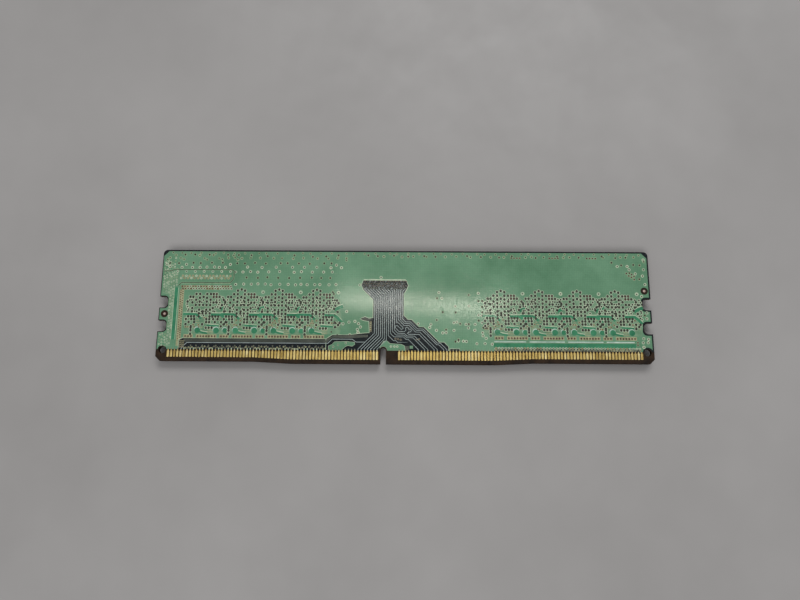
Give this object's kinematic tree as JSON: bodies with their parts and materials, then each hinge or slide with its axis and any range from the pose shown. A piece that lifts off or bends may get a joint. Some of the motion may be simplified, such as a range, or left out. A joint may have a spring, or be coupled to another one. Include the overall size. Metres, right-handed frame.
{
  "type": "ram module",
  "caption": "Flat desktop memory module: ramped gold contact edge with key slot, latch notches in both ends, memory packages on one face and a bare green back.",
  "frame": {"origin": "middle of the board outline, on the plane that the memory packages' tops rest on", "axes": "+X along the board, toward the long run of contacts; -Y toward the contact edge; +Z out of the board's bare back"},
  "size_m": [0.1334, 0.0312, 0.0025],
  "materials": {
    "laminate": "bare glass-epoxy, dark brown, satin",
    "copper": "copper foil",
    "solder_mask": "green semi-gloss solder mask",
    "gold": "gold plated, slightly worn",
    "mould": "black moulding compound",
    "substrate": "green package substrate",
    "silicon": "silicon, polished",
    "solder": "lead-free solder, satin",
    "capacitor_ceramic": "tan ceramic",
    "terminal_tin": "tin plated",
    "resistor_slab": "black glass over alumina"
  },
  "bodies": {
    "root": {"back_contacts_long_side": "gold", "back_contacts_short_side": "gold", "back_copper_pour": "copper", "back_fiducial_marks": "copper", "back_prepreg": "laminate", "back_solder_mask": "solder_mask", "board_core": "laminate", "bulk_capacitor_bodies": "capacitor_ceramic", "bulk_capacitor_solder": "solder", "bulk_capacitor_terminals": "terminal_tin", "decoupling_capacitor_bodies": "capacitor_ceramic", "decoupling_capacitor_solder": "solder", "decoupling_capacitor_terminals": "terminal_tin", "dram_1_mould": "mould", "dram_1_solder_balls": "solder", "dram_1_substrate": "substrate", "dram_2_mould": "mould", "dram_2_solder_balls": "solder", "dram_2_substrate": "substrate", "dram_3_mould": "mould", "dram_3_solder_balls": "solder", "dram_3_substrate": "substrate", "dram_4_mould": "mould", "dram_4_solder_balls": "solder", "dram_4_substrate": "substrate", "dram_5_mould": "mould", "dram_5_solder_balls": "solder", "dram_5_substrate": "substrate", "dram_6_mould": "mould", "dram_6_solder_balls": "solder", "dram_6_substrate": "substrate", "dram_7_mould": "mould", "dram_7_solder_balls": "solder", "dram_7_substrate": "substrate", "dram_8_mould": "mould", "dram_8_solder_balls": "solder", "dram_8_substrate": "substrate", "dram_dies": "silicon", "eeprom_body": "mould", "eeprom_leads": "terminal_tin", "front_contacts_long_side": "gold", "front_contacts_short_side": "gold", "front_copper_pour": "copper", "front_fiducial_marks": "copper", "front_prepreg": "laminate", "front_solder_mask": "solder_mask", "inner_ground_plane": "copper", "inner_power_plane": "copper", "series_resistor_bodies": "resistor_slab", "series_resistor_solder": "solder", "series_resistor_terminals": "terminal_tin", "termination_resistor_bodies": "resistor_slab", "termination_resistor_solder": "solder", "termination_resistor_terminals": "terminal_tin"}
  },
  "joints": []
}
